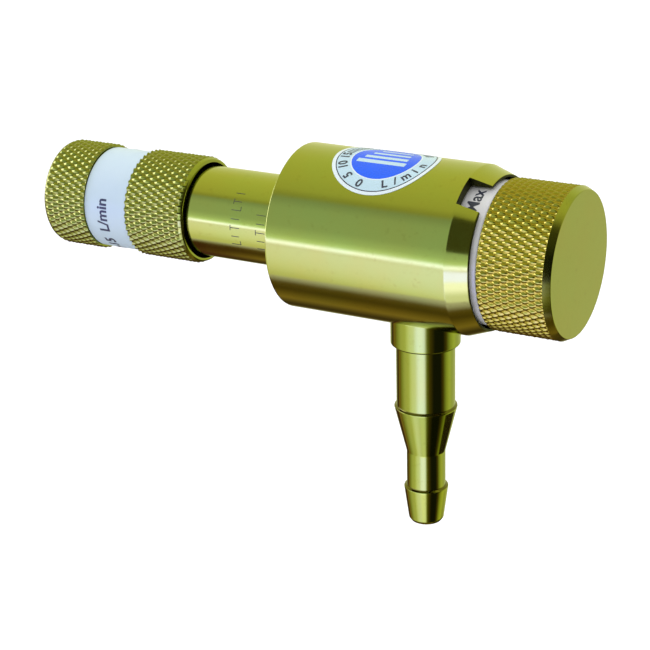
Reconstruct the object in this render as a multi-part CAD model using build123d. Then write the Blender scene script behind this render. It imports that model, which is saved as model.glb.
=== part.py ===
"""Gas regulator with a needle flow control: a brass bar body, a union nut on the inlet,
a knurled knob with a Min-Max scale on the flow side and a two-step hose tail.

Millimetres. The main axis is X: the inlet union nut's mouth is at x = 0 and the knob is
at the +X end. +Z is up and the hose tail points down (-Z).
Angles round the X axis are in degrees from +Y towards +Z.
"""

import math
import os

from build123d import *

FIT = 0.03  # radial clearance of threads, spigots and running fits

# Inlet union nut (G3/8 female thread, drawn at its crest radius)
NUT_R = 10.03
NUT_LEN = 31.17
NUT_CREST_R = 7.475
NUT_THREAD_LEN = 9.4
NUT_RELIEF_R = 8.35
NUT_SHOULDER = (13.2, 19.2)
NUT_NECK_R = 5.75
NUT_SKIRT_R = 8.95
GROOVE = (9.35, 18.69)
GROOVE_R = 9.3

# Inlet stem and what it holds
STEM_R = 8.385
STEM_X0 = 22.0
STEM_FLANGE_R = 11.8
STEM_X1 = 59.9
NIPPLE_R = 5.0
NIPPLE_END = 30.3
FILTER_BORE_R = 4.6
GUIDE_R = 2.5
ROD_POCKET_R = 4.0
SPRING_POCKET_R = 9.5
SPRING_POCKET_X = 54.0

# Housing (30 mm brass bar)
BODY_R = 15.0
BODY_X0, CONE_X0, BODY_X1 = 51.9, 86.48, 90.34
NOSE_R = 13.63
NOSE_BORE_R = 13.15
NOSE_FLOOR = 83.0
PISTON_BORE_R = 10.45
WALL = (68.5, 72.0)
GLAND_X = 79.0
CHAMBER_R = 6.5
WINDOW = dict(x0=86.4, width=6.2, angle=119.75)
VENT = dict(x=62.0, angle=-30.0)

# Piston and main spring
ROD_R = 2.45
ROD_X0 = 43.5
HEAD = (64.0, 67.5)
HEAD_R = 10.4
SPRING_WIRE_R = 0.75
SPRING_R = 6.6
SPRING_TURNS = 5.0

# Needle valve
NEEDLE_R = 2.6
NEEDLE_THREAD_R = 1.85
NEEDLE_FLAT_Y = 2.1
NEEDLE_TRAVEL = 0.84
GLAND_R = 8.0
SPINDLE_R = 4.0
SPINDLE_X = (82.9, 88.9)
CLIP_X = (88.95, 89.55)
CLIP_R = 4.55
SHAFT_R = 3.0
STOP_RADIUS = 10.1
STOP_PIN_R = 0.6
STOP_ANGLE = 20.0
LUG_SPAN = 51.0
LUG_GAP = 4.5

# Knob and scale sleeve
KNOB_X0, KNURL_X1, KNOB_X1 = 91.4, 103.37, 104.7
KNOB_R = 13.38
FACE_R = 12.9
SLEEVE_R = 12.65
SLEEVE_BORE_R = 11.2
SPIGOT_R = 12.0
GRUB = dict(x=99.0, r=1.5, angle=-60.0, flat=2.5)

# Hose tail, along -Z
TAIL_X = 75.75
SPOT_Z = 13.5
TAIL_END = 53.9
TAIL_BORE_R = 2.0

# Round label, wrapped on the body
LABEL = dict(x=69.4, angle=98.0, r=9.55, thick=0.08)


def turned(*profile, arc=360.0, start=0.0):
    """A solid turned about X from (x, radius) corners."""
    face = make_face(Polyline(*[(x, r, 0) for x, r in profile], close=True))
    return Rot(start, 0, 0) * revolve(face, Axis.X, revolution_arc=arc)


def ring(x0, x1, r_in, r_out, arc=360.0, start=0.0):
    return turned((x0, r_in), (x1, r_in), (x1, r_out), (x0, r_out), arc=arc, start=start)


def rod(x0, x1, r):
    return ring(x0, x1, 0, r)


def turned_down(*profile):
    """A solid turned about the hose tail's axis from (depth below the main axis, radius)."""
    face = make_face(Polyline(*[(r, 0, -d) for d, r in profile], close=True))
    return Pos(TAIL_X, 0, 0) * revolve(face, Axis.Z)


def radial(x, angle, r0, r1, radius):
    """A radial cylinder at station x, from distance r0 to r1 off the main axis."""
    stub = Rot(-90, 0, 0) * Cylinder(radius, r1 - r0, align=(Align.CENTER, Align.CENTER, Align.MIN))
    return Rot(angle, 0, 0) * Pos(x, r0, 0) * stub


def o_ring(x, r_in, r_out):
    return Pos(x, 0, 0) * Rot(0, 90, 0) * Torus((r_in + r_out) / 2, (r_out - r_in) / 2)


def hex_prism(x0, x1, across_flats):
    plan = RegularPolygon(across_flats / 2, 6, major_radius=False)
    return Pos(x0, 0, 0) * Rot(0, 90, 0) * extrude(plan, x1 - x0)


# ---- inlet connection ----


def inlet_nut():
    return turned(
        (0, NUT_CREST_R), (NUT_THREAD_LEN, NUT_CREST_R), (NUT_THREAD_LEN, NUT_RELIEF_R),
        (NUT_SHOULDER[0], NUT_RELIEF_R), (NUT_SHOULDER[0], NUT_NECK_R),
        (NUT_SHOULDER[1], NUT_NECK_R), (NUT_SHOULDER[1], NUT_SKIRT_R),
        (NUT_LEN, NUT_SKIRT_R), (NUT_LEN, 9.3), (NUT_LEN - 0.55, NUT_R),
        (GROOVE[1], NUT_R), (GROOVE[1], GROOVE_R), (GROOVE[0], GROOVE_R),
        (GROOVE[0], NUT_R), (0.9, NUT_R), (0, 9.2),
    )  # fmt: skip


def nut_label_band():
    return ring(GROOVE[0] + 0.3, GROOVE[1] - 0.1, GROOVE_R + 0.01, GROOVE_R + 0.1)


def nut_thrust_washer():
    return ring(12.65, 13.15, NUT_NECK_R - 0.05, 7.2)


def inlet_nipple():
    return turned(
        (9.9, 2.8), (NIPPLE_END, 2.8), (NIPPLE_END, NIPPLE_R), (STEM_X0, NIPPLE_R),
        (STEM_X0, 5.6), (12.6, 5.6), (12.6, 7.2), (10.5, 7.2), (10.5, 3.3), (9.9, 3.3),
    )  # fmt: skip


def inlet_washer():
    return ring(9.5, 10.48, 3.33, 6.8)


# ---- inlet stem ----


def inlet_stem():
    return turned(
        (STEM_X0, NIPPLE_R + FIT), (30.5, NIPPLE_R + FIT), (30.5, FILTER_BORE_R),
        (38.0, FILTER_BORE_R), (38.0, 3.9), (39.2, 3.9), (39.2, 3.5), (47.0, 3.5),
        (47.0, GUIDE_R), (49.0, GUIDE_R), (49.0, ROD_POCKET_R),
        (SPRING_POCKET_X, ROD_POCKET_R), (SPRING_POCKET_X, SPRING_POCKET_R),
        (STEM_X1, SPRING_POCKET_R), (STEM_X1, STEM_FLANGE_R), (59.1, STEM_FLANGE_R),
        (59.1, 10.5), (57.7, 10.5), (57.7, STEM_FLANGE_R), (BODY_X0, STEM_FLANGE_R),
        (BODY_X0, STEM_R), (STEM_X0 + 0.5, STEM_R), (STEM_X0, STEM_R - 0.5),
    )  # fmt: skip


def inlet_filter():
    return rod(31.7, 37.8, FILTER_BORE_R - 0.05) - rod(31.7, 36.0, 2.6)


def filter_clip():
    return ring(30.75, 31.45, 3.5, FILTER_BORE_R - 0.04, arc=320, start=20)


def valve_seat():
    return turned(
        (38.05, 0.9), (43.0, 0.9), (43.0, 1.2), (42.5, 1.6), (41.5, 1.6),
        (41.5, 3.47), (39.15, 3.47), (39.15, 3.87), (38.05, 3.87),
    )  # fmt: skip


def stem_oring():
    return o_ring(58.4, 10.53, STEM_FLANGE_R - 0.01)


# ---- piston ----


def piston():
    shape = turned(
        (ROD_X0, 1.62), (45.0, 1.62), (45.0, 0), (45.7, 0), (45.7, 1.1), (HEAD[1], 1.1),
        (HEAD[1], HEAD_R), (66.65, HEAD_R), (66.65, 8.95), (64.95, 8.95),
        (64.95, HEAD_R), (HEAD[0], HEAD_R), (HEAD[0], ROD_R), (ROD_X0, ROD_R),
    )  # fmt: skip
    return shape - Pos(46.25, 0, 0) * Rot(90, 0, 0) * Cylinder(0.5, 6)


def seat_disc():
    return rod(ROD_X0 + 0.02, 44.98, 1.6)


def piston_oring():
    return o_ring(65.8, 8.97, 10.42)


def piston_rod_oring():
    return o_ring(49.85, ROD_R + FIT, ROD_POCKET_R - FIT)


def rod_guide_bush():
    return ring(50.75, 53.97, GUIDE_R, ROD_POCKET_R - FIT)


def spring_shim():
    return ring(SPRING_POCKET_X + 0.02, 54.5, 3.0, SPRING_POCKET_R - 0.1)


def main_spring():
    x0, x1 = 54.53, HEAD[0] - 0.02
    length = x1 - x0
    pitch = (length - 2 * SPRING_WIRE_R) / SPRING_TURNS
    turns = SPRING_TURNS + 1.2
    coil = Helix(pitch=pitch, height=pitch * turns, radius=SPRING_R)
    section = Plane(origin=coil @ 0, z_dir=coil % 0) * Circle(SPRING_WIRE_R)
    wire = sweep(section, path=coil, is_frenet=True)
    wire = Pos((x0 + x1) / 2 - pitch * turns / 2, 0, 0) * Rot(0, 90, 0) * wire
    return wire & ring(x0, x1, SPRING_R - 2, SPRING_R + 2)


# ---- housing ----


def housing():
    body = turned(
        (BODY_X0, STEM_FLANGE_R + FIT), (STEM_X1 + 0.1, STEM_FLANGE_R + FIT),
        (STEM_X1 + 0.1, PISTON_BORE_R), (WALL[0], PISTON_BORE_R), (WALL[0], 9.8),
        (HEAD[1] + 0.05, 9.8), (HEAD[1] + 0.05, 9.0), (WALL[0], 9.0), (WALL[0], 3.02),
        (WALL[1], 3.02), (WALL[1], CHAMBER_R), (GLAND_X, CHAMBER_R),
        (GLAND_X, GLAND_R + FIT), (NOSE_FLOOR, GLAND_R + FIT), (NOSE_FLOOR, NOSE_BORE_R),
        (BODY_X1, NOSE_BORE_R), (BODY_X1, NOSE_R), (CONE_X0, BODY_R),
        (BODY_X0 + 0.3, BODY_R), (BODY_X0, BODY_R - 0.3),
    )  # fmt: skip
    slot = Box(10, 6, WINDOW["width"], align=(Align.MIN, Align.CENTER, Align.CENTER))
    body -= Rot(WINDOW["angle"], 0, 0) * Pos(WINDOW["x0"], 14, 0) * slot
    body -= turned_down((SPOT_Z, 0), (SPOT_Z, 6.9), (17, 6.9), (17, 0))
    body -= turned_down(
        (5.0, 0), (5.0, 2.6), (8.0, 2.6), (8.0, 4.9), (12.4, 4.9), (12.4, 6.0), (14, 6.0), (14, 0)
    )
    body -= radial(VENT["x"], VENT["angle"], 9, 16, 0.8)
    body -= radial(VENT["x"], VENT["angle"], 13.3, 16, 1.5)
    return body


def vent_plug():
    return radial(VENT["x"], VENT["angle"], 13.32, 14.6, 1.47)


def round_label():
    """A disc of the given radius, measured along the surface, bent round the body."""
    steps = 48
    edge = [
        (LABEL["r"] * math.cos(t), BODY_R * math.sin(LABEL["r"] * math.sin(t) / BODY_R), 0)
        for t in (2 * math.pi * i / steps for i in range(steps))
    ]
    blank = extrude(make_face(Spline(*edge, periodic=True)), 20)
    blank = Rot(LABEL["angle"] - 90, 0, 0) * Pos(LABEL["x"], 0, 0) * blank
    return blank & ring(BODY_X0, CONE_X0, BODY_R + 0.01, BODY_R + 0.01 + LABEL["thick"])


# ---- needle valve ----


def needle_seat():
    return turned(
        (68.7, 1.0), (70.4, 1.0), (70.4, 1.4), (73.4, 1.4), (73.4, 4.5), (72.45, 4.5),
        (72.45, 3.0), (68.7, 3.0),
    )  # fmt: skip


def needle_seat_gasket():
    return ring(72.02, 72.43, 3.05, 4.5)


def beyond_flat(x0, x1, y):
    return Pos(x0, y, 0) * Box(x1 - x0, 4, 8, align=(Align.MIN, Align.MIN, Align.CENTER))


def metering_needle():
    """The flat keeps it from turning, so the spindle's left-hand thread drives it along."""
    stem = turned(
        (71.6, 0), (71.6, 0.35), (75.9, 2.0), (76.1, NEEDLE_R), (79.4, NEEDLE_R),
        (79.4, 1.75), (81.0, 1.75), (81.0, NEEDLE_R), (83.2, NEEDLE_R),
        (83.2, NEEDLE_THREAD_R), (88.0, NEEDLE_THREAD_R), (88.0, 0),
    )  # fmt: skip
    return stem - beyond_flat(75.5, 79.2, NEEDLE_FLAT_Y)


def needle_oring():
    return o_ring(80.2, 1.77, NEEDLE_R + 0.01)


def gland_bush():
    bush = turned(
        (77.3, NEEDLE_R + FIT), (82.8, NEEDLE_R + FIT), (82.8, SPINDLE_R + FIT),
        (CLIP_X[0] - 0.02, SPINDLE_R + FIT), (CLIP_X[0] - 0.02, CLIP_R + 0.05),
        (CLIP_X[1] + 0.02, CLIP_R + 0.05), (CLIP_X[1] + 0.02, SPINDLE_R + FIT),
        (90.0, SPINDLE_R + FIT), (90.0, 5.9), (84.0, 5.9), (84.0, 12.6),
        (NOSE_FLOOR + 0.05, 12.6), (NOSE_FLOOR + 0.05, GLAND_R), (81.1, GLAND_R),
        (81.1, 6.75), (79.7, 6.75), (79.7, GLAND_R), (79.1, GLAND_R), (79.1, 4.2), (77.3, 4.2),
    )  # fmt: skip
    bush += hex_prism(84.0, 87.5, 13.0) - rod(83.5, 88, SPINDLE_R + FIT)
    guide_end = 79.2 - NEEDLE_TRAVEL - 0.06
    bush += rod(77.3, guide_end, NEEDLE_R + 0.3) & beyond_flat(77.3, guide_end, NEEDLE_FLAT_Y + FIT)
    return bush - stop_pin_blank(STOP_PIN_R + 0.02)


def gland_oring():
    return o_ring(80.4, 6.78, GLAND_R - 0.01)


def adjusting_spindle():
    """It turns without moving along, held between the bush's shoulder and the clip."""
    screw = turned(
        (SPINDLE_X[0], 2.9), (83.4, 2.9), (83.4, NEEDLE_THREAD_R + FIT),
        (88.4, NEEDLE_THREAD_R + FIT), (88.4, 0), (101.3, 0), (101.3, SHAFT_R - 0.3),
        (101.0, SHAFT_R), (SPINDLE_X[1], SHAFT_R), (SPINDLE_X[1], SPINDLE_R),
        (SPINDLE_X[0], SPINDLE_R),
    )  # fmt: skip
    seat = Pos(GRUB["x"], GRUB["flat"], 0) * Box(
        4, 4, 8, align=(Align.CENTER, Align.MIN, Align.CENTER)
    )
    return screw - Rot(GRUB["angle"], 0, 0) * seat


def spindle_clip():
    return ring(*CLIP_X, SHAFT_R + 0.1, CLIP_R, arc=330, start=15)


def stop_pin_blank(radius):
    return Rot(STOP_ANGLE, 0, 0) * Pos(0, STOP_RADIUS, 0) * rod(83.1, 86.6, radius)


def stop_pin():
    return stop_pin_blank(STOP_PIN_R)


# ---- knob ----


def scale_sleeve():
    drum = turned(
        (85.0, SLEEVE_BORE_R), (96.2, SLEEVE_BORE_R), (96.2, SPIGOT_R), (91.35, SPIGOT_R),
        (91.35, SLEEVE_R - 0.3), (91.05, SLEEVE_R), (85.0, SLEEVE_R),
    )  # fmt: skip
    first = STOP_ANGLE - LUG_GAP - LUG_SPAN
    return drum + ring(85.0, 86.6, 9.4, SLEEVE_BORE_R + 0.2, arc=LUG_SPAN, start=first)


def knob():
    cap = turned(
        (KNOB_X0, SPIGOT_R + FIT), (96.3, SPIGOT_R + FIT), (96.3, 6.0), (92.4, 6.0),
        (92.4, SHAFT_R + FIT), (101.5, SHAFT_R + FIT), (101.5, 0), (KNOB_X1, 0),
        (KNOB_X1, FACE_R), (KNURL_X1, KNOB_R), (KNOB_X0 + 0.35, KNOB_R), (KNOB_X0, 13.05),
    )  # fmt: skip
    return cap - radial(GRUB["x"], GRUB["angle"], 0.5, 15, GRUB["r"] + FIT)


def knob_grub_screw():
    screw = radial(GRUB["x"], GRUB["angle"], GRUB["flat"] + 0.02, 9.5, GRUB["r"])
    socket = Rot(90, 0, 0) * extrude(RegularPolygon(0.75, 6, major_radius=False), -1.5)
    return screw - Rot(GRUB["angle"], 0, 0) * Pos(GRUB["x"], 8.0, 0) * socket


# ---- outlet ----


def hose_tail():
    return turned_down(
        (8.3, TAIL_BORE_R), (8.3, 4.86), (SPOT_Z, 4.86), (SPOT_Z, 6.3), (18.67, 6.3),
        (18.97, 6.0), (18.97, 5.33), (30.75, 5.33), (30.95, 5.73), (31.1, 5.73),
        (39.87, 3.555), (46.75, 3.555), (46.95, 4.06), (47.15, 4.06), (53.3, 3.22),
        (TAIL_END, 2.8), (TAIL_END, TAIL_BORE_R),
    )  # fmt: skip


def hose_tail_oring():
    return Pos(TAIL_X, 0, -12.95) * Torus(5.43, 0.52)


NODES = [
    inlet_nut, nut_label_band, nut_thrust_washer, inlet_nipple, inlet_washer,
    inlet_stem, inlet_filter, filter_clip, valve_seat, stem_oring,
    piston, seat_disc, piston_oring, piston_rod_oring, rod_guide_bush,
    spring_shim, main_spring, housing, vent_plug, round_label,
    needle_seat, needle_seat_gasket, metering_needle, needle_oring,
    gland_bush, gland_oring, adjusting_spindle, spindle_clip, stop_pin,
    scale_sleeve, knob, knob_grub_screw, hose_tail, hose_tail_oring,
]  # fmt: skip

os.makedirs("parts", exist_ok=True)
for make in NODES:
    export_step(make(), f"parts/{make.__name__}.step")
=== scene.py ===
"""Looks of the gas regulator: turned and knurled brass, prints, labels, light and camera."""

import math

import bmesh
import bpy
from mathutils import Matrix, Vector, noise


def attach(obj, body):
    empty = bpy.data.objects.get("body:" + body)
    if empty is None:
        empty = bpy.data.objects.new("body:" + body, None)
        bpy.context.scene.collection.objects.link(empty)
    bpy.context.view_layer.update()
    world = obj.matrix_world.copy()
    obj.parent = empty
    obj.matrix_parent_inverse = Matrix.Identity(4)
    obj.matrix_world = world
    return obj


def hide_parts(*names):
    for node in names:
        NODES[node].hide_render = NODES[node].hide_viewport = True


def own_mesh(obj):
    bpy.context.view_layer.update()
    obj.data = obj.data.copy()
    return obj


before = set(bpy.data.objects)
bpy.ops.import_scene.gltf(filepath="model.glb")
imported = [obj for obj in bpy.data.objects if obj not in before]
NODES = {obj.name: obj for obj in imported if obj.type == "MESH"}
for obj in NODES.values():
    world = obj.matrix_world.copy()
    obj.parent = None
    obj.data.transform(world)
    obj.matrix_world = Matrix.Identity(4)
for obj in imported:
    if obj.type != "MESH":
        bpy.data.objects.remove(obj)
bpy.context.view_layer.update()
MM = 0.001


def cad_span(node):
    """Start and end of a CAD node along the main axis, and its radius, in millimetres."""
    points = [v.co / MM for v in NODES[node].data.vertices]
    stations = [p.x for p in points]
    return round(min(stations), 2), round(max(stations), 2), round(max(p.y for p in points), 2)


# Sizes in millimetres. Stations count from the nut's mouth, and the hose tail's depths from
# the main axis. What the frame doesn't tell has the CAD's value.
NUT_X0, NUT_X1, NUT_R = cad_span("inlet_nut")
NUT_CREST_R, NUT_RELIEF_R, NUT_NECK_R, NUT_SKIRT_R = 7.475, 8.35, 5.75, 8.95
NUT_THREAD_END, NUT_SHOULDER = 9.4, (13.2, 19.2)
GROOVE, GROOVE_R, BAND_R = (9.35, 18.69), 9.3, 9.4

STEM_X0, STEM_X1, FLANGE_R = cad_span("inlet_stem")
STEM_R, FILTER_BORE_R, SPRING_POCKET_R, SPRING_POCKET_X = 8.385, 4.6, 9.5, 54.0

BODY_X0, BODY_X1, BODY_R = cad_span("housing")
CONE_X0, NOSE_R, NOSE_BORE_R, NOSE_FLOOR = 86.48, 13.63, 13.15, 83.0
SOCKET_R, SOCKET_FLOOR, PISTON_BORE_R, WALL = 11.83, 60.0, 10.45, (68.5, 72.0)
CHAMBER_R, GLAND_X, GLAND_BORE_R = 6.5, 79.0, 8.03
WINDOW_X0, WINDOW_WIDTH, WINDOW_ANGLE = 86.4, 6.2, 60.25
VENT_X, VENT_ANGLE = 62.0, 210.0

KNOB_X0, KNOB_X1, KNOB_R = cad_span("knob")
GRUB_X, GRUB_ANGLE = 99.0, 240.0
SLEEVE_X0, SLEEVE_X1, SLEEVE_R = cad_span("scale_sleeve")
SLEEVE_BORE_R, SPIGOT_R = 11.2, 12.0

SPRING_X0, SPRING_X1, SPRING_OUTER_R = cad_span("main_spring")

TAIL_X, TAIL_END, TAIL_BORE_R = 75.75, 53.9, 2.0
SPOT_Z, SPOT_R, PORT_R = 13.5, 6.9, 4.95
LABEL_X, LABEL_ANGLE, LABEL_R = 69.4, 82.0, 9.55


# ---------------------------------------------------------------- materials


class Nodes:
    """Builds a node tree step by step."""

    def __init__(self, tree):
        self.tree = tree

    def node(self, kind, **settings):
        n = self.tree.nodes.new(kind)
        for key, value in settings.items():
            setattr(n, key, value)
        return n

    def link(self, a, b):
        self.tree.links.new(a, b)

    def put(self, socket, value):
        """Links an output to a socket, or sets the socket's plain value."""
        if isinstance(value, bpy.types.NodeSocket):
            self.link(value, socket)
        else:
            socket.default_value = value

    def ramp(self, fac, stops):
        """A colour ramp; a stop is (position, colour)."""
        r = self.node("ShaderNodeValToRGB")
        for _ in stops[2:]:
            r.color_ramp.elements.new(0.5)
        for e, (pos, colour) in zip(r.color_ramp.elements, stops):
            e.position = pos
            e.color = (*colour, 1)
        self.link(fac, r.inputs["Fac"])
        return r.outputs["Color"]

    def mix(self, fac, a, b, blend="MIX"):
        """Colour a turned into colour b as fac goes from 0 to 1."""
        n = self.node("ShaderNodeMix", data_type="RGBA", blend_type=blend)
        self.put(n.inputs[0], fac)
        for socket, value in ((n.inputs[6], a), (n.inputs[7], b)):
            self.put(socket, (*value, 1) if isinstance(value, tuple) else value)
        return n.outputs[2]

    def map_range(self, value, start, end, to=(0.0, 1.0), **settings):
        n = self.node("ShaderNodeMapRange", **settings)
        for key, number in zip(("From Min", "From Max", "To Min", "To Max"), (start, end, *to)):
            n.inputs[key].default_value = number
        self.link(value, n.inputs["Value"])
        return n.outputs["Result"]


class Mat(Nodes):
    """A material, with its textures in object coordinates."""

    def __init__(self, name):
        self.m = bpy.data.materials.new(name)
        self.m.use_nodes = True
        super().__init__(self.m.node_tree)
        self.bsdf = self.tree.nodes["Principled BSDF"]
        self.at = self.node("ShaderNodeTexCoord").outputs["Object"]

    def set(self, **values):
        for key, value in values.items():
            self.bsdf.inputs[key.replace("_", " ")].default_value = value
        return self

    def stretched(self, scale):
        """Object coordinates scaled per axis."""
        m = self.node("ShaderNodeMapping")
        m.inputs["Scale"].default_value = scale
        self.link(self.at, m.inputs["Vector"])
        return m.outputs["Vector"]

    def noise(self, scale, detail=3.0, rough=0.55, at=None):
        n = self.node("ShaderNodeTexNoise")
        n.inputs["Scale"].default_value = scale
        n.inputs["Detail"].default_value = detail
        n.inputs["Roughness"].default_value = rough
        self.link(at or self.at, n.inputs["Vector"])
        return n.outputs["Fac"]

    def spread(self, fac, low, high):
        """A noise value, mostly 0.3 to 0.7, mapped to low-high."""
        return self.map_range(fac, 0.3, 0.7, (low, high))

    def colour(self, socket):
        self.link(socket, self.bsdf.inputs["Base Color"])
        return self

    def roughness(self, socket):
        self.link(socket, self.bsdf.inputs["Roughness"])
        return self

    def bump(self, *layers):
        """Layers of (height, strength, distance in metres), each on top of the last."""
        normal = None
        for height, strength, distance in layers:
            b = self.node("ShaderNodeBump")
            b.inputs["Strength"].default_value = strength
            b.inputs["Distance"].default_value = distance
            self.link(height, b.inputs["Height"])
            if normal:
                self.link(normal, b.inputs["Normal"])
            normal = b.outputs["Normal"]
        self.link(normal, self.bsdf.inputs["Normal"])
        return self


BRASS = (0.352, 0.392, 0.078)
BRASS_WARM = (0.372, 0.375, 0.070)
BRASS_STAIN = (0.300, 0.300, 0.052)


def brass(name, along, low, high, marks, shade_colour=None, tint=(1.0, 1.0, 1.0)):
    """Turned brass, its roughness from low to high. Tool marks run round the given axis (0 is
    X, 2 is Z). The colour after marks is painted shade, mixed in as the mesh's painted shade attribute
    rises to 1."""
    m = Mat(name).set(Metallic=1.0)
    base, warm, groove_shade = (
        tuple(a * b for a, b in zip(c, tint)) for c in (BRASS, BRASS_WARM, BRASS_STAIN)
    )
    cloud = m.noise(90, 4, 0.6)
    col = m.mix(m.ramp(cloud, [(0.35, (0, 0, 0)), (0.7, (1, 1, 1))]), base, warm)
    specks = m.ramp(m.noise(900, 2, 0.7), [(0.60, (0, 0, 0)), (0.78, (0.5, 0.5, 0.5))])
    col = m.mix(specks, col, groove_shade)
    # Darkens towards a painted shade colour in the mesh's grooves and corners
    if shade_colour:
        depth = m.node("ShaderNodeAttribute", attribute_name="painted_shade").outputs["Fac"]
        col = m.mix(m.ramp(depth, [(0.2, (0, 0, 0)), (1.0, (0.8, 0.8, 0.8))]), col, shade_colour)
    m.colour(col)
    scale = [60.0, 60.0, 60.0]
    scale[along] = 9000.0
    lines = m.noise(1.0, 3, 0.7, m.stretched(scale))
    scale[along] = 1500.0
    chatter = m.noise(1.0, 2, 0.5, m.stretched(scale))
    m.roughness(m.spread(m.noise(220, 4, 0.6), low, high))
    return m.bump((lines, marks, 0.00002), (chatter, marks * 0.5, 0.00004)).m


def steel(name, base, low, high):
    m = Mat(name).set(Metallic=1.0)
    m.colour(m.mix(m.noise(300, 3), base, tuple(c * 0.7 for c in base)))
    m.roughness(m.spread(m.noise(700, 3), low, high))
    return m.bump((m.noise(2500, 2), 0.15, 0.00001)).m


def soft(name, base, dark, low, high, grain=1500, strength=0.15, **sockets):
    """A plastic, rubber, paper or fibre surface with fine grain."""
    m = Mat(name).set(**sockets)
    patches = m.ramp(m.noise(grain * 0.2, 4), [(0.3, (0, 0, 0)), (0.75, (1, 1, 1))])
    m.colour(m.mix(patches, base, dark))
    m.roughness(m.spread(m.noise(grain * 0.4, 3), low, high))
    return m.bump((m.noise(grain, 3), strength, 0.00002)).m


def sintered(name):
    """Sintered bronze: fused grains with dark pores."""
    m = Mat(name).set(Metallic=1.0)
    cells = m.node("ShaderNodeTexVoronoi", feature="F1")
    cells.inputs["Scale"].default_value = 4200
    m.link(m.at, cells.inputs["Vector"])
    d = cells.outputs["Distance"]
    m.colour(m.ramp(d, [(0.25, (0.40, 0.25, 0.10)), (0.75, (0.08, 0.05, 0.02))]))
    m.roughness(m.spread(d, 0.35, 0.6))
    low = m.node("ShaderNodeMath", operation="SUBTRACT")
    low.inputs[0].default_value = 1.0
    m.link(d, low.inputs[1])
    return m.bump((low.outputs[0], 0.8, 0.0001)).m


M = {
    "body": brass("brass_body", 0, 0.10, 0.15, 0.025),
    "stem": brass("brass_stem", 0, 0.10, 0.16, 0.025, tint=(1.05, 1.05, 1.05)),
    # The tail's, nut's and knob's dark second colours are painted shade in their corners and knurl grooves
    "tail": brass("brass_hose_tail", 2, 0.08, 0.13, 0.02, (0.10, 0.08, 0.01), (0.78, 0.84, 0.55)),
    "nut": brass("brass_nut", 0, 0.15, 0.23, 0.04, (0.20, 0.19, 0.03), (0.84, 0.88, 0.72)),
    "knob": brass("brass_knob", 0, 0.13, 0.20, 0.03, (0.34, 0.24, 0.016), (0.86, 0.86, 0.70)),
    # Rough brass darkened to a painted shade, for the window's walls and the housing's end
    "slot": brass("brass_slot_painted_shade", 0, 0.45, 0.6, 0.3, tint=(0.16, 0.16, 0.16)),
    "inner": brass("brass_inner", 0, 0.2, 0.32, 0.12),
    "spring": steel("spring_wire", (0.45, 0.46, 0.47), 0.25, 0.4),
    "stainless": steel("stainless_ground", (0.60, 0.60, 0.60), 0.2, 0.32),
    "black_steel": steel("black_oxide", (0.05, 0.05, 0.055), 0.35, 0.5),
    "rubber": soft("o_ring_rubber", (0.02, 0.02, 0.02), (0.035, 0.035, 0.035), 0.45, 0.6),
    "nylon": soft("nylon_disc", (0.80, 0.77, 0.66), (0.70, 0.66, 0.54), 0.35, 0.5),
    "ptfe": soft("ptfe", (0.88, 0.88, 0.85), (0.80, 0.80, 0.77), 0.3, 0.45),
    "fibre": soft("red_fibre", (0.30, 0.04, 0.02), (0.18, 0.03, 0.02), 0.6, 0.8, 2500, 0.5),
    "sinter": sintered("sintered_bronze"),
    "band": soft("band_paper", (0.43, 0.53, 0.57), (0.40, 0.50, 0.55), 0.28, 0.42, 900, 0.1),
    "ink": soft("print_ink", (0.012, 0.014, 0.035), (0.03, 0.035, 0.06), 0.35, 0.5, 1800, 0.1),
    "sleeve": soft("scale_plastic", (0.53, 0.53, 0.53), (0.46, 0.46, 0.46), 0.3, 0.42, 1200, 0.1),
    "label": soft("label_white", (0.54, 0.61, 0.59), (0.49, 0.57, 0.56), 0.22, 0.34, 900, 0.08,
                  Specular_IOR_Level=0.25),
    "ring": soft("label_pale_ring", (0.38, 0.52, 0.54), (0.35, 0.48, 0.51), 0.22, 0.34, 900, 0.08,
                 Specular_IOR_Level=0.25),
    "blue": soft("label_blue", (0.010, 0.090, 0.62), (0.009, 0.075, 0.54), 0.2, 0.32, 900, 0.08,
                 Specular_IOR_Level=0.25),
    "stamp": soft("stamped_mark", (0.030, 0.034, 0.006), (0.06, 0.06, 0.012), 0.4, 0.6, 2500, 0.3),
}

# CAD nodes that are shown as they are, by material
PAINT = {
    "inner": "inlet_nipple valve_seat piston needle_seat gland_bush adjusting_spindle",
    "ptfe": "rod_guide_bush needle_seat_gasket nut_thrust_washer",
    "sinter": "inlet_filter vent_plug",
    "spring": "filter_clip spindle_clip",
    "stainless": "stop_pin metering_needle spring_shim",
    "black_steel": "knob_grub_screw",
    "rubber": "stem_oring piston_oring piston_rod_oring needle_oring gland_oring hose_tail_oring",
    "nylon": "seat_disc",
    "fibre": "inlet_washer",
}


# ---------------------------------------------------------------- mesh tools


def mesh_object(name, verts, faces, material, body, smooth=35.0):
    """A mesh from millimetre points, riding on a body, with edges sharper than smooth kept."""
    me = bpy.data.meshes.new(name)
    me.from_pydata([tuple(c * MM for c in v) for v in verts], [], faces)
    me.validate()
    o = bpy.data.objects.new(name, me)
    bpy.context.scene.collection.objects.link(o)
    me.materials.append(M[material])
    shade(me, smooth)
    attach(o, body)
    return o


def shade(me, limit):
    """Smooth faces, with their normals outwards and the edges over limit degrees sharp."""
    bm = bmesh.new()
    bm.from_mesh(me)
    bmesh.ops.recalc_face_normals(bm, faces=bm.faces)
    for f in bm.faces:
        f.smooth = True
    for e in bm.edges:
        e.smooth = len(e.link_faces) == 2 and e.calc_face_angle(0) < math.radians(limit)
    bm.to_mesh(me)
    bm.free()


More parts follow.
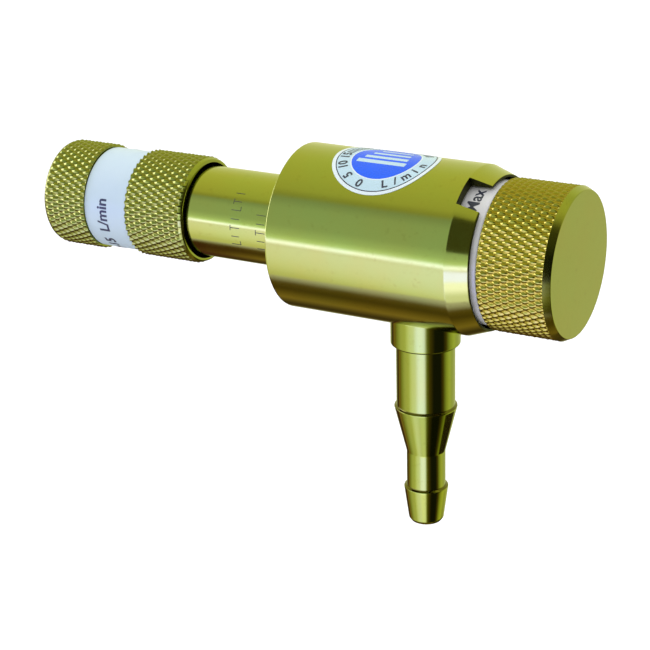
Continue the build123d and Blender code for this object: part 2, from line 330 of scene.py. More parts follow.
def rounded(profile, radius):
    """A closed (along, r) profile with each corner turned into a small arc."""
    out = []
    n = len(profile)
    for i in range(n):
        a, b, c = (Vector(profile[k % n]) for k in (i - 1, i, i + 1))
        u, v = (a - b), (c - b)
        reach = min(radius, u.length * 0.4, v.length * 0.4)
        if reach < 1e-4 or abs(u.normalized().cross(v.normalized())) < 0.05:
            out.append(tuple(b))
            continue
        p, q = b + u.normalized() * reach, b + v.normalized() * reach
        for t in (0.0, 0.5, 1.0):
            out.append(tuple(p * (1 - t) ** 2 + b * 2 * t * (1 - t) + q * t * t))
    return out


def round_x(x, r, t):
    """A point at station x and radius r, t radians from the front (-Y) upwards."""
    return (x, -r * math.cos(t), r * math.sin(t))


def radial(angle):
    """The unit vector out from the main axis, angle degrees from the front upwards."""
    t = math.radians(angle)
    return Vector((0, -math.cos(t), math.sin(t)))


def around(angle):
    """The unit vector round the main axis at that angle, the way that angles grow."""
    t = math.radians(angle)
    return Vector((0, math.sin(t), math.cos(t)))


def round_z(x, r, t):
    """A point about the hose tail's axis, x being the depth below the main axis."""
    return (TAIL_X + r * math.cos(t), r * math.sin(t), -x)


def lathe(name, profile, material, body, place=round_x, columns=256, corner=0.12):
    """A closed ring-shaped solid turned from its (along, r) section."""
    section = rounded(profile, corner)
    n = len(section)
    verts = [
        place(x, r, 2 * math.pi * j / columns) for j in range(columns) for x, r in section
    ]
    faces = []
    for j in range(columns):
        k = (j + 1) % columns
        for i in range(n):
            h = (i + 1) % n
            faces.append((j * n + i, j * n + h, k * n + h, k * n + i))
    return mesh_object(name, verts, faces, material, body)


KNURL_STEPS = 4  # rows and columns of the mesh in half a diamond
KNURL_DEPTH = 0.36


def knurl_height(i, j):
    """Height 0-1 of a diamond knurl at sub-step (i, j): round beads between crossed grooves."""
    u, v = (i + j) / (2 * KNURL_STEPS), (i - j) / (2 * KNURL_STEPS)
    a, b = (abs(2 * (w % 1.0) - 1) for w in (u, v))
    return (a * a * (3 - 2 * a) * b * b * (3 - 2 * b)) ** 0.65


def is_knurl(row):
    return bool(row[2]) and row[2][0] == "knurl"


def knurled(name, rows, teeth, pitch, material, body):
    """A closed turned solid with diamond-knurled bands.

    A row is (x, r, kind). kind is ("knurl", crest radius) for a knurled row, whose r is the
    most it may reach; ("thread", pitch, depth) for a row of internal thread; None for a plain
    one. A knurled row's height follows its distance from the band's first row."""
    columns = teeth * 2 * KNURL_STEPS
    cell = pitch / 2 / KNURL_STEPS
    verts, painted_shade, start = [], [], None
    for row in rows:
        x, r, kind = row
        if is_knurl(row):
            start = x if start is None else start
            i = (x - start) / cell
        else:
            start = None
        for j in range(columns):
            t = 2 * math.pi * j / columns
            g = groove_shade = 0.0
            if is_knurl(row):
                h = knurl_height(i, j)
                g = 1 - h
                # Painted shade, strongest at the bottom of the grooves between the beads
                groove_shade = 0.4 + 0.6 * g
                worn = 0.06 * noise.noise(Vector((x, t * 9, 3.0)))
                r_here = min(kind[1] - KNURL_DEPTH * max(0.0, g + worn * h), r)
            elif kind:
                w = (x / kind[1] - t / (2 * math.pi)) % 1.0
                r_here = r + kind[2] * min(1.0, max(0.0, 1.25 * abs(2 * w - 1) - 0.125))
            else:
                r_here = r
            verts.append(round_x(x, r_here, t))
            painted_shade.append(groove_shade)
    faces = []
    n = len(rows)
    for i in range(n):
        h = (i + 1) % n
        both = is_knurl(rows[i]) and is_knurl(rows[h])
        before = next((m for m in range(i, -1, -1) if not is_knurl(rows[m])), -1)
        for j in range(columns):
            k = (j + 1) % columns
            a, b, c, d = i * columns + j, h * columns + j, h * columns + k, i * columns + k
            # Each quad is split the way that the groove beside it runs
            if both and ((i - before - 1) // KNURL_STEPS + j // KNURL_STEPS) % 2:
                faces += [(a, b, c), (a, c, d)]
            elif both:
                faces += [(a, b, d), (b, c, d)]
            else:
                faces.append((a, b, c, d))
    o = mesh_object(name, verts, faces, material, body, 50)
    o.data.attributes.new("painted_shade", "FLOAT", "POINT").data.foreach_set("value", painted_shade)
    return o


def knurl_rows(x0, x1, crest, cap, pitch):
    """Rows of a knurled band from x0 to x1; cap(x) is the largest radius there."""
    cell = pitch / 2 / KNURL_STEPS
    count = int((x1 - x0) / cell)
    stations = [x0 + cell * i for i in range(count + 1)]
    if x1 - stations[-1] > 0.03:
        stations.append(x1)
    return [(x, cap(x), ("knurl", crest)) for x in stations]


def plain_rows(*points):
    """Smooth rows of a knurled piece, from (x, r) points."""
    return [(x, r, None) for x, r in points]


def evaluated_mesh(o):
    """A new mesh of the object as its modifiers or its text settings make it."""
    bpy.context.view_layer.update()
    return bpy.data.meshes.new_from_object(o.evaluated_get(bpy.context.evaluated_depsgraph_get()))


def cut(target, *cutters):
    """Takes the cutters out of the target and removes them."""
    for c in cutters:
        m = target.modifiers.new("cut", "BOOLEAN")
        m.object, m.solver = c, "EXACT"
    made = evaluated_mesh(target)
    target.modifiers.clear()
    target.data = made
    for c in cutters:
        bpy.data.objects.remove(c)


def cutter(name, verts, faces):
    """A solid that only serves to be cut out of another, from millimetre points."""
    me = bpy.data.meshes.new(name)
    me.from_pydata([tuple(c * MM for c in v) for v in verts], [], faces)
    o = bpy.data.objects.new(name, me)
    bpy.context.scene.collection.objects.link(o)
    shade(me, 30)
    return o


def rod_cutter(name, centre, direction, radius, length, sides=64):
    """A round cutter from centre along direction, in millimetres."""
    d = Vector(direction).normalized()
    e = d.orthogonal().normalized()
    f = d.cross(e)
    c = Vector(centre)
    verts = [
        c + d * s + (e * math.cos(a) + f * math.sin(a)) * radius
        for s in (0, length)
        for a in (2 * math.pi * i / sides for i in range(sides))
    ]
    faces = [tuple(range(sides)), tuple(range(2 * sides - 1, sides - 1, -1))]
    faces += [(i, (i + 1) % sides, sides + (i + 1) % sides, sides + i) for i in range(sides)]
    return cutter(name, verts, faces)


def block_cutter(name, x0, x1, r0, r1, width, angle):
    """A box cutter standing radially on the main axis, angle from the front upwards."""
    out, side = radial(angle), around(angle)
    verts = [
        Vector((x, 0, 0)) + out * r + side * s * width / 2
        for x in (x0, x1)
        for r in (r0, r1)
        for s in (-1, 1)
    ]
    faces = [(0, 1, 3, 2), (4, 6, 7, 5), (0, 4, 5, 1), (2, 3, 7, 6), (0, 2, 6, 4), (1, 5, 7, 3)]
    return cutter(name, verts, faces)


# ---------------------------------------------------------------- prints


def wrapped(x0, angle, r):
    """Maps a flat print onto the cylinder: u runs up round it, v points away from the knob."""

    def place(u, v, lift=0.0):
        return round_x(x0 - v, r + lift, math.radians(angle) + u / r)

    return place


INK = 0.02  # thickness of a print, millimetres


def text(name, words, height, place, material, body, bold=0.0):
    """Lettering as thin raised ink laid on a curved surface."""
    curve = bpy.data.curves.new(name, "FONT")
    curve.body, curve.size, curve.align_x, curve.align_y = words, height, "CENTER", "CENTER"
    curve.offset, curve.extrude, curve.resolution_u = bold, INK / 2, 4
    o = bpy.data.objects.new(name + "_flat", curve)
    bpy.context.scene.collection.objects.link(o)
    flat = evaluated_mesh(o)
    bpy.data.objects.remove(o)
    verts = [place(v.co.x, v.co.y, v.co.z + INK) for v in flat.vertices]
    faces = [tuple(p.vertices) for p in flat.polygons]
    bpy.data.meshes.remove(flat)
    return mesh_object(name, verts, faces, material, body)


def stroke(place, u0, v0, u1, v1, width, lift, cuts=6):
    """One straight stroke of a print, as a thin closed bar."""
    a, b = Vector((u0, v0)), Vector((u1, v1))
    n = Vector((-(b - a).y, (b - a).x)).normalized() * width / 2
    verts = []
    for i in range(cuts + 1):
        p = a.lerp(b, i / cuts)
        for side, up in ((1, 0), (-1, 0), (-1, INK), (1, INK)):
            verts.append(place(*(p + n * side), lift + up))
    faces = [(3, 2, 1, 0), (4 * cuts, 4 * cuts + 1, 4 * cuts + 2, 4 * cuts + 3)]
    for i in range(cuts):
        for k in range(4):
            m = (k + 1) % 4
            faces.append((4 * i + k, 4 * i + m, 4 * i + 4 + m, 4 * i + 4 + k))
    return verts, faces


def strokes(name, place, lines, material, body, slot, width=0.16, lift=0.005):
    """Several strokes as one piece; a line is (u0, v0, u1, v1) or has its own width last."""
    verts, faces = [], []
    for line in lines:
        v, f = stroke(place, *line[:4], line[4] if len(line) > 4 else width, lift)
        faces += [tuple(i + len(verts) for i in q) for q in f]
        verts += v
    return mesh_object(name, verts, faces, material, body)


def disc(name, place, r0, r1, low, high, material, body, slot, rings=12):
    """A flat ring or disc between two heights above the surface it is laid on."""

    def laid(lift, r, t):
        return place(r * math.cos(t), r * math.sin(t), lift)

    span = [r0 + (r1 - r0) * i / rings for i in range(rings + 1)]
    section = [(low, r) for r in span] + [(high, r) for r in reversed(span)]
    return lathe(name, section, material, body, laid, 144, 0)


# ---------------------------------------------------------------- pieces
#
# Where an outline has a point close to a corner on a straight run, it keeps the corner's
# soft shading out of the long face beside it.


def make_housing():
    o = lathe(
        "housing_bar",
        [
            (BODY_X0, SOCKET_R), (SOCKET_FLOOR, SOCKET_R), (SOCKET_FLOOR, PISTON_BORE_R),
            (WALL[0], PISTON_BORE_R), (WALL[0], 3.02), (WALL[1], 3.02), (WALL[1], CHAMBER_R),
            (GLAND_X, CHAMBER_R), (GLAND_X, GLAND_BORE_R), (NOSE_FLOOR, GLAND_BORE_R),
            (NOSE_FLOOR, NOSE_BORE_R), (BODY_X1, NOSE_BORE_R), (BODY_X1, NOSE_R),
            (BODY_X1 - 0.24, 13.715), (CONE_X0 + 0.27, 14.904), (CONE_X0, BODY_R),
            (CONE_X0 - 0.28, BODY_R), (BODY_X0 + 0.3, BODY_R), (BODY_X0, BODY_R),
        ],
        "body", "body", corner=0.14,
    )  # fmt: skip
    vent_floor, vent = 13.3, radial(VENT_ANGLE)
    cut(
        o,
        block_cutter("c_window", WINDOW_X0, 92, 11.5, 17, WINDOW_WIDTH, WINDOW_ANGLE),
        rod_cutter("c_spot", (TAIL_X, 0, -SPOT_Z), (0, 0, -1), SPOT_R, 4, 96),
        rod_cutter("c_port", (TAIL_X, 0, -8.0), (0, 0, -1), PORT_R, 8),
        rod_cutter("c_vent", Vector((VENT_X, 0, 0)) + vent * vent_floor, vent, 1.5, 4),
    )  # fmt: skip
    darken_slot(o.data)
    shade(o.data, 35)
    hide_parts("housing")


def darken_slot(me):
    """The window's sawn walls, and the housing's end in the knob's shadow, take rough brass darkened to
    painted shade.
    """
    me.materials.append(M["slot"])
    out, across = radial(WINDOW_ANGLE), around(WINDOW_ANGLE)
    for p in me.polygons:
        c = p.center / MM
        in_window = c.dot(out) > 12 and abs(c.dot(across)) < 3.2 and WINDOW_X0 - 0.1 < c.x < 90.4
        is_side = abs(p.normal.dot(across)) > 0.95
        is_end = abs(p.normal.x) > 0.95 and c.x < 87
        on_nose_end = c.x > 90.25 and p.normal.x > 0.6
        # These faces take the painted shade
        if (in_window and (is_side or is_end)) or on_nose_end:
            p.material_index = 1


def make_stem():
    o = lathe(
        "stem_turned",
        [
            (STEM_X0, 5.03), (30.5, 5.03), (30.5, FILTER_BORE_R), (38.0, FILTER_BORE_R), (38.0, 3.9),
            (39.2, 3.9), (39.2, 3.5), (47.0, 3.5), (47.0, 2.5), (49.0, 2.5), (49.0, 4.0),
            (SPRING_POCKET_X, 4.0), (SPRING_POCKET_X, SPRING_POCKET_R), (STEM_X1, SPRING_POCKET_R),
            (STEM_X1, FLANGE_R), (59.1, FLANGE_R), (59.1, 10.5), (57.7, 10.5), (57.7, FLANGE_R),
            (BODY_X0, FLANGE_R), (BODY_X0, STEM_R), (BODY_X0 - 0.2, STEM_R), (STEM_X0 + 0.8, STEM_R),
            (STEM_X0 + 0.5, STEM_R), (STEM_X0, STEM_R - 0.5),
        ],
        "stem", "body", corner=0.08,
    )  # fmt: skip
    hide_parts("inlet_stem")
    # Stamped marks: two rows of plain strokes round the stem
    spacing = 1.62
    marks = []
    for i, (kind, tall) in enumerate(zip("LITILTI", (1.9, 1.6, 1.9, 1.7, 1.9, 1.6, 1.8))):
        u = -4.6 + i * spacing
        marks.append((u, -tall / 2, u, tall / 2))
        if kind == "L":
            marks.append((u, -tall / 2, u + 0.75, -tall / 2))
        if kind == "T":
            marks.append((u - 0.5, tall / 2, u + 0.5, tall / 2))
    for name, place, shown in (
        ("stem_marks_a", wrapped(41.7, 12, STEM_R), marks),
        ("stem_marks_b", wrapped(47.0, 10, STEM_R), marks[:7]),
    ):
        strokes(name, place, shown, "stamp", "body", "stem_brass", 0.13, 0.006)


def make_nut():
    pitch, crest = 2.5, NUT_R
    front = knurl_rows(0.12, GROOVE[0], crest, lambda x: min(crest, 9.25 + x * 0.95), pitch)
    back = knurl_rows(GROOVE[1], 30.36, crest, lambda x: crest, pitch)
    # The thread is drawn from its runout towards the mouth, eight rows a turn
    thread, thread_depth, runout, mouth = 1.337, 0.855, 9.2, 0.5
    count = int((runout - mouth) / (thread / 8))
    bore = [
        (runout - i * thread / 8, NUT_CREST_R, ("thread", thread, thread_depth))
        for i in range(count + 1)
    ]
    floor, shoulder = NUT_SHOULDER
    rows = (
        plain_rows((NUT_X0, 9.1)) + front
        + plain_rows((GROOVE[0], 9.32), (9.42, GROOVE_R), (18.62, GROOVE_R), (GROOVE[1], 9.32)) + back
        + plain_rows((30.42, 9.8), (30.95, 9.62), (31.12, 9.46), (NUT_X1, 9.36), (NUT_X1, 9.0))
        + plain_rows((31.08, NUT_SKIRT_R), (shoulder, NUT_SKIRT_R), (shoulder, NUT_NECK_R))
        + plain_rows((floor, NUT_NECK_R), (floor, NUT_RELIEF_R), (NUT_THREAD_END, NUT_RELIEF_R))
        + bore + plain_rows((NUT_X0, NUT_RELIEF_R))
    )  # fmt: skip
    o = knurled("nut_knurled", rows, 47, pitch, "nut", "union_nut")
    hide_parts("inlet_nut")


def make_knob():
    pitch, crest = 2.45, KNOB_R
    band = knurl_rows(91.45, 103.37, crest, lambda x: min(crest, 13.1 + (x - KNOB_X0) * 0.9), pitch)
    centre = 0.01
    rows = (
        plain_rows((KNOB_X0, 13.0)) + band
        # Chamfer and face
        + plain_rows((103.4, 13.05), (103.46, 13.36), (104.6, 12.80), (104.67, 12.76))
        + plain_rows((KNOB_X1, 12.70), (KNOB_X1, 12.60), (KNOB_X1, 9.0), (KNOB_X1, 4.0), (KNOB_X1, centre))
        # Shaft bore, hub and the recess round it
        + plain_rows((101.5, centre), (101.5, 3.03), (92.4, 3.03), (92.4, 6.0))
        + plain_rows((96.3, 6.0), (96.3, 12.03), (KNOB_X0, 12.03))
    )  # fmt: skip
    o = knurled("knob_knurled", rows, 64, pitch, "knob", "knob")
    down = radial(GRUB_ANGLE)
    cut(o, rod_cutter("c_grub", Vector((GRUB_X, 0, 0)) + down * 2.0, down, 1.53, 13))
    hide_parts("knob")


def make_sleeve():
    o = lathe(
        "scale_drum",
        [
            (SLEEVE_X0, SLEEVE_BORE_R), (SLEEVE_X1, SLEEVE_BORE_R), (SLEEVE_X1, SPIGOT_R),
            (91.35, SPIGOT_R), (91.35, SLEEVE_R - 0.3), (91.05, SLEEVE_R), (SLEEVE_X0, SLEEVE_R),
        ],
        "sleeve", "knob", corner=0.1,
    )  # fmt: skip
    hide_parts("scale_sleeve")
    # The knob's 300 degrees bring the minimum to the window the other way round
    max_at, min_at = WINDOW_ANGLE, WINDOW_ANGLE + 60
    for name, words, at in (("max", "Max", max_at), ("min", "Min", min_at)):
        text("scale_text_" + name, words, 3.1, wrapped(88.3, at, SLEEVE_R), "ink", "knob",
             bold=0.06)  # fmt: skip
    ticks = []
    for i in range(37):
        u = math.radians(18 + 7 * i) * SLEEVE_R
        ticks.append((u, 0.0, u, 0.8 if i % 4 else 1.4))
    strokes("scale_ticks", wrapped(88.6, min_at, SLEEVE_R), ticks, "ink", "knob", "scale_plastic")


def make_tail():
    collar, shank, neck = 6.3, 5.33, 3.555
    o = lathe(
        "hose_tail_turned",
        [
            (8.3, TAIL_BORE_R), (8.3, 4.86), (SPOT_Z, 4.86),
            # Collar
            (SPOT_Z, collar), (13.8, collar), (18.4, collar), (18.67, collar), (18.97, 6.0),
            # Large step: shank, lip and cone
            (18.97, shank), (19.3, shank), (30.5, shank), (30.75, shank), (30.95, 5.73),
            (31.1, 5.73), (31.3, 5.68), (39.6, 3.622),
            # Small step: neck, lip and cone
            (39.87, neck), (40.2, neck), (46.5, neck), (46.75, neck), (46.95, 4.06),
            (47.15, 4.06), (47.4, 4.026), (53.1, 3.247), (53.3, 3.22), (TAIL_END, 2.8),
            (TAIL_END, TAIL_BORE_R),
        ],
        "tail", "body", round_z, corner=0.1,
    )  # fmt: skip
    # Painted shade in the three corners
    corners, reach = (18.95, 30.8, 46.8), 0.16
    depths = [-v.co.z / MM for v in o.data.vertices]
    corner_shade = [float(any(abs(depth - at) < reach for at in corners)) for depth in depths]
    o.data.attributes.new("painted_shade", "FLOAT", "POINT").data.foreach_set("value", corner_shade)
    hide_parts("hose_tail")


def make_spring():
    """The main spring, ground flat at both ends."""
    pitch, wire, sides, per_turn = 1.59, 0.75, 20, 72
    coil = SPRING_OUTER_R - wire
    start, end = SPRING_X0 + 0.3, SPRING_X1 - 0.3
    count = int((end - start) / pitch * per_turn)
    verts = []
    for i in range(count + 1):
        angle = 360 * i / per_turn
        out = radial(angle)
        along = (around(angle) + Vector((pitch / (2 * math.pi * coil), 0, 0))).normalized()
        up = along.cross(out)
        centre = Vector((start + (end - start) * i / count, 0, 0)) + out * coil
        for k in range(sides):
            a = 2 * math.pi * k / sides
            p = centre + (out * math.cos(a) + up * math.sin(a)) * wire
            verts.append((min(max(p.x, SPRING_X0), SPRING_X1), p.y, p.z))
    faces = [tuple(range(sides)), tuple(range(count * sides, (count + 1) * sides))[::-1]]
    for i in range(count):
        for k in range(sides):
            a, b = i * sides + k, i * sides + (k + 1) % sides
            faces.append((a, b, b + sides, a + sides))
    o = mesh_object("main_spring_coil", verts, faces, "spring", "body", 50)
    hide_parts("main_spring")
    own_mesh(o)  # fmt: skip


def make_band():
    """The printed band in the nut's groove. Its front edge runs a little crooked."""
    columns, inner, rear = 288, 9.31, 18.64
    mid = (9.65 + rear) / 2
    verts, faces = [], []
    for j in range(columns):
        t = 2 * math.pi * j / columns
        front = 9.42 + 0.26 * (1 - math.cos(t - math.radians(5)))
        outside = [(front, BAND_R), (mid, BAND_R), (rear, BAND_R)]
        section = [(front, inner), *outside, (rear, inner), (mid, inner)]
        verts += [round_x(x, r, t) for x, r in section]
    for j in range(columns):
        k = (j + 1) % columns
        faces += [(6 * j + i, 6 * j + (i + 1) % 6, 6 * k + (i + 1) % 6, 6 * k + i) for i in range(6)]
    o = mesh_object("band_strip", verts, faces, "band", "union_nut", 50)
    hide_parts("nut_label_band")
    for i, at in enumerate((-27.0, 153.0)):
        text(f"band_text_{i}", "0-15  L/min", 3.05, wrapped(13.35, at, BAND_R), "ink",
             "union_nut", bold=0.085)  # fmt: skip


def ring_text(name, words, r, start, step, outward, place, size=2.3):
    """Characters set round a ring, upright either outwards or towards its centre."""
    for i, word in enumerate(words):
        a = math.radians(start + step * i)
        turn = a - math.pi / 2 if outward else a + math.pi / 2

        def on_ring(u, v, lift, a=a, turn=turn):
            x, y = u * math.cos(turn) - v * math.sin(turn), u * math.sin(turn) + v * math.cos(turn)
            return place(r * math.cos(a) + x, r * math.sin(a) + y, lift + 0.075)

        text(f"{name}_{i}", word, size, on_ring, "ink", "body", bold=0.055)


def make_label():
    """The round label, in thin layers: white disc, black line, pale ring and blue disc."""
    curved = wrapped(LABEL_X, LABEL_ANGLE, BODY_R + 0.01)

    def place(u, v, lift=0.0):
        """u points down the front, v towards the knob."""
        return curved(-u, -v, lift)

    centre, text_r = 0.02, 7.5
    on_label = dict(body="body", slot="label_print")
    o = disc("label_disc", place, centre, LABEL_R, 0.0, 0.06, "label", rings=20, **on_label)
    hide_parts("round_label")
    disc("label_outer_line", place, 8.72, 8.90, 0.05, 0.075, "ink", rings=1, **on_label)
    disc("label_pale_ring", place, 6.35, 8.70, 0.05, 0.07, "ring", rings=4, **on_label)
    disc("label_blue_disc", place, centre, 6.1, 0.05, 0.075, "blue", rings=14, **on_label)
    ring_text("label_number", ["0", "5", "10", "15"], text_r, -14, -24, True, place)
    ring_text("label_unit", list("L/min"), text_r, 22, 15, False, place)
    ticks = []
    for i in range(32):
        a = math.radians(120 + i * 4.6)
        c, s = math.cos(a), math.sin(a)
        ticks.append((6.8 * c, 6.8 * s, 8.3 * c, 8.3 * s, 0.3))
    strokes("label_ticks", place, ticks, "ink", lift=0.06, **on_label)
    # Pale bars that thin out, for flow
    bars = []
    for i in range(4):
        u = 1.5 - 1.7 * i
        bars.append((u, -4.9 + 0.8 * i, u, 4.4 - 0.3 * i, 1.1 - 0.2 * i))
    strokes("label_bars", place, bars, "ring", lift=0.066, **on_label)


def paint_cad_nodes():
    for key, names in PAINT.items():
        for node_name in names.split():
            data = NODES[node_name].data
            data.materials.clear()
            data.materials.append(M[key])


paint_cad_nodes()
make_housing()
make_stem()
make_nut()
make_knob()
make_sleeve()
make_tail()
make_spring()
make_band()
make_label()


# ---------------------------------------------------------------- studio

scene = bpy.context.scene
scene.view_settings.view_transform = "Standard"
scene.view_settings.look = "None"

FLOOR_Z, FLOOR_HALF = -0.30, 6.0  # metres

# Tints of the surround
WHITE, COOL, WARM, BROWN = (1, 1, 1), (0.90, 1.14, 1.30), (1.0, 1.02, 0.45), (1.3, 0.85, 0.2)
PALE, FLASH, OLIVE, CREAM = (1.0, 0.95, 1.9), (1.0, 1.0, 3.4), (1.0, 1.02, 0.55), (1.0, 1.0, 4.4)

# What a ray to the left and one to the right see, round the main axis: (degrees, brightness,
# tint), with 0 at the front horizon, 90 up, 180 behind and -90 down
ROUND_LEFT = [
    (-180, 0.95, OLIVE), (-152, 0.65, OLIVE), (-138, 0.08, BROWN), (-126, 0.05, BROWN),
    (-116, 0.14, BROWN), (-106, 0.30, BROWN), (-96, 0.22, BROWN), (-84, 0.10, BROWN),
    (-72, 0.16, BROWN), (-62, 0.9, PALE), (-20, 1.4, PALE), (-13, 1.6, PALE), (-9, 3.4, FLASH),
    (-5, 1.4, COOL), (2, 0.95, COOL), (14, 0.69, COOL), (40, 0.66, COOL), (52, 0.50, COOL),
    (57, 0.52, WARM), (66, 0.74, WARM), (88, 0.84, WARM), (125, 0.95, WARM), (150, 1.0, OLIVE),
    (180, 0.95, OLIVE),
]  # fmt: skip
ROUND_RIGHT = [
    (-180, 0.80, OLIVE), (-132, 0.70, OLIVE), (-104, 0.62, WARM), (-80, 0.62, WARM),
    (-64, 0.35, BROWN), (-45, 0.25, BROWN), (-14, 0.18, BROWN), (-2, 0.22, BROWN),
    (6, 0.10, WARM), (60, 0.08, WARM), (72, 0.12, WARM), (84, 0.5, WARM), (100, 0.85, WARM),
    (180, 0.80, OLIVE),
]  # fmt: skip
# Just below the horizon, round the upright axis: 0 is the front, 90 the right
ROUND_LOW = [
    (-180, 0.8, OLIVE), (-127, 0.5, OLIVE), (-111, 0.45, BROWN), (-92, 0.28, BROWN),
    (-79, 0.6, WARM), (-63, 1.05, (1.0, 0.98, 0.9)), (-45, 1.2, (1.0, 0.99, 1.0)),
    (-37, 1.55, (1.0, 1.0, 1.5)), (-28, 1.8, (1.0, 1.0, 2.2)), (-15, 1.95, (1.0, 1.0, 2.6)),
    (-4, 2.4, CREAM), (4, 2.6, CREAM), (16, 2.5, CREAM), (22, 2.1, CREAM), (27, 1.0, PALE),
    (31, 0.35, WARM), (40, 0.12, BROWN), (56, 0.02, WHITE), (86, 0.02, WHITE),
    (98, 0.12, BROWN), (106, 0.4, WARM), (116, 0.75, WARM), (131, 1.05, OLIVE),
    (148, 0.85, OLIVE), (180, 0.8, OLIVE),
]  # fmt: skip


class Surround(Nodes):
    """The studio's surround: masks and colours by the direction of a ray."""

    def calc(self, op, a, b):
        n = self.node("ShaderNodeMath", operation=op)
        self.put(n.inputs[0], a)
        self.put(n.inputs[1], b)
        return n.outputs[0]

    def plus(self, a, b):
        return self.calc("ADD", a, b)

    def times(self, a, b):
        return self.calc("MULTIPLY", a, b)

    def turned(self, a, b):
        """The angle of (b, a) as 0-1 for -180 to 180 degrees."""
        return self.plus(self.calc("DIVIDE", self.calc("ARCTAN2", a, b), 2 * math.pi), 0.5)

    def over(self, value, low, high):
        """1 above high, 0 below low, smooth between."""
        return self.map_range(value, low, high, interpolation_type="SMOOTHSTEP")

    def under(self, value, low, high):
        return self.calc("SUBTRACT", 1.0, self.over(value, low, high))

    def within(self, value, a, b, c, d):
        """Rises from a to b and falls from c to d."""
        return self.times(self.over(value, a, b), self.under(value, c, d))

    def round_ramp(self, turn, stops):
        """A ramp over a full turn; a stop is (degrees, brightness, tint)."""
        return self.ramp(turn, [
            (degrees / 360 + 0.5, tuple(level * c for c in tint)) for degrees, level, tint in stops
        ])  # fmt: skip


def make_world():
    """A soft studio surround. It varies with direction: a pale ceiling, a dimmer room in
    front, a bright low table edge, a dark strip below, and a dark side to the front right."""
    world = bpy.data.worlds.new("studio")
    scene.world = world
    world.use_nodes = True
    world.node_tree.nodes.clear()
    s = Surround(world.node_tree)
    axes = s.node("ShaderNodeSeparateXYZ")
    s.link(s.node("ShaderNodeTexCoord").outputs["Generated"], axes.inputs[0])
    x, y, z = axes.outputs
    forwards = s.times(y, -1.0)
    turn, azimuth = s.turned(z, forwards), s.turned(x, forwards)
    left, right = s.round_ramp(turn, ROUND_LEFT), s.round_ramp(turn, ROUND_RIGHT)
    low = s.round_ramp(azimuth, ROUND_LOW)

    # Above the horizon the right side starts further left
    edge = s.plus(x, s.times(s.within(z, 0.10, 0.26, 0.78, 0.92), 0.22))
    sky = s.mix(s.over(edge, 0.375, 0.405), left, right)
    # The dark front right
    far_right = s.times(s.over(x, 0.42, 0.50), s.under(y, 0.2, 0.45))
    sky = s.mix(s.times(far_right, s.under(z, 0.3, 0.7)), sky, (0.012, 0.012, 0.010))
    # A dark red shade under the left end
    shade_below = s.times(s.within(turn, 0.13, 0.15, 0.285, 0.31), s.under(x, -0.515, -0.495))
    sky = s.mix(shade_below, sky, (0.10, 0.03, 0.02))
    # The strip below the horizon. On the right it turns yellow further down, then dims.
    right_half = s.over(x, -0.25, 0.0)
    low = s.mix(s.times(right_half, s.under(z, -0.50, -0.42)), low, (1.04, 1.02, 0.60), "MULTIPLY")
    low = s.mix(s.times(right_half, s.under(z, -0.76, -0.58)), low, (0.62, 0.64, 0.45), "MULTIPLY")
    tilted = s.plus(z, s.times(x, 0.12))
    strip = s.times(s.under(z, -0.26, -0.20), s.over(tilted, -0.84, -0.81))
    behind_left = s.times(s.over(y, 0.12, 0.30), s.under(x, -0.1, 0.1))
    sky = s.mix(s.times(strip, s.calc("SUBTRACT", 1.0, behind_left)), sky, low)
    # Dark again low down at the back right
    slanted = s.plus(z, s.times(y, -0.26))
    low_back = s.times(s.over(x, -0.05, 0.10), s.over(y, 0.28, 0.36))
    low_back = s.times(low_back, s.under(slanted, -0.76, -0.735))
    sky = s.mix(low_back, sky, (0.04, 0.025, 0.01))
    # A soft box at the far left, from the horizon upwards
    key = s.times(s.under(x, -0.84, -0.76), s.under(y, -0.05, 0.25))
    key = s.times(key, s.within(z, -0.12, -0.02, 0.5, 0.62))
    sky = s.mix(key, sky, (4.5, 4.5, 9.0))
    # Matt surfaces are lit by an even grey, and the camera sees a pale backdrop
    ray = s.node("ShaderNodeLightPath").outputs
    sky = s.mix(ray["Is Diffuse Ray"], sky, (0.80, 0.80, 0.80))
    sky = s.mix(ray["Is Camera Ray"], sky, (0.93, 0.93, 0.93))
    back = s.node("ShaderNodeBackground")
    s.link(sky, back.inputs["Color"])
    s.link(back.outputs[0], s.node("ShaderNodeOutputWorld").inputs["Surface"])


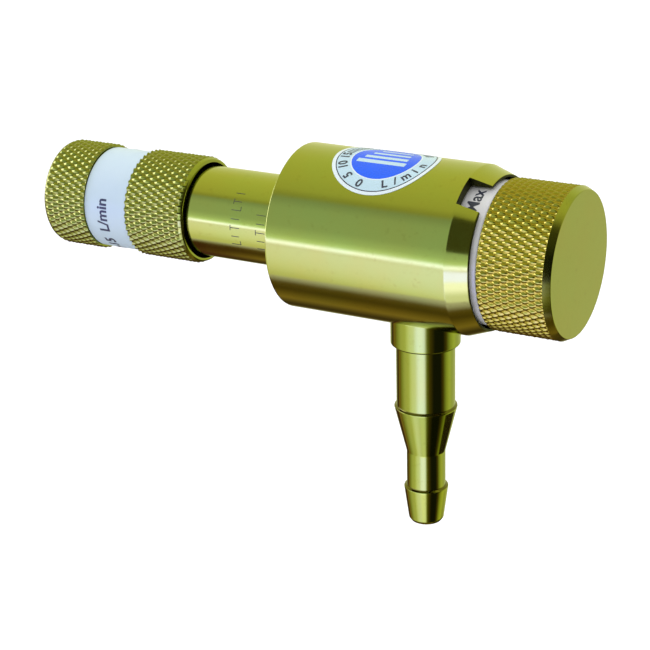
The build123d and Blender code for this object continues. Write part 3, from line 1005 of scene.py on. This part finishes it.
def make_floor():
    h = FLOOR_HALF
    me = bpy.data.meshes.new("studio_floor")
    corners = [(-h, -h, FLOOR_Z), (h, -h, FLOOR_Z), (h, h, FLOOR_Z), (-h, h, FLOOR_Z)]
    me.from_pydata(corners, [], [(0, 1, 2, 3)])
    floor = bpy.data.objects.new("studio_floor", me)
    scene.collection.objects.link(floor)
    m = Mat("floor_paper")
    m.colour(m.mix(m.noise(3, 2), (0.88, 0.88, 0.88), (0.87, 0.87, 0.87))).set(Roughness=0.9)
    me.materials.append(m.m)
    floor.visible_glossy = False


def area(name, at, aim, size, power):
    """A soft white light that isn't seen in reflections."""
    light = bpy.data.lights.new(name, "AREA")
    light.shape, light.size, light.size_y = "RECTANGLE", size[0], size[1]
    light.energy = power
    o = bpy.data.objects.new(name, light)
    scene.collection.objects.link(o)
    o.location = at
    o.rotation_euler = (Vector(aim) - Vector(at)).to_track_quat("-Z", "Y").to_euler()
    o.visible_glossy = False


def make_camera():
    """A long lens from the front right and a little above, turned slightly about its own axis."""
    azimuth, elevation, roll = (math.radians(v) for v in (29.36, 20.80, -1.42))
    aim, distance = Vector((0.05518, 0, -0.01896)), 0.3501
    away = Vector((
        math.sin(azimuth) * math.cos(elevation), -math.cos(azimuth) * math.cos(elevation),
        math.sin(elevation),
    ))  # fmt: skip
    camera = bpy.data.cameras.new("camera")
    camera.sensor_width, camera.lens = 36.0, 105.4
    camera.clip_start, camera.clip_end = 0.01, 20
    eye = bpy.data.objects.new("camera", camera)
    scene.collection.objects.link(eye)
    eye.location = aim + away * distance
    look = (-away).to_track_quat("-Z", "Y").to_matrix()
    across, up = look.col[0], look.col[1]
    side = across * math.cos(roll) + up * math.sin(roll)
    rise = up * math.cos(roll) - across * math.sin(roll)
    look.col[0], look.col[1] = side, rise
    eye.rotation_euler = look.to_euler()
    scene.camera = eye


make_floor()
make_world()
area("floor_fill", (-0.1, 0.3, 1.6), (-0.1, 0.3, 0), (4.2, 4.2), 52)
area("front_fill", (-0.2, -0.9, 0.6), (0.05, 0, 0), (0.8, 0.5), 1.2)
make_camera()
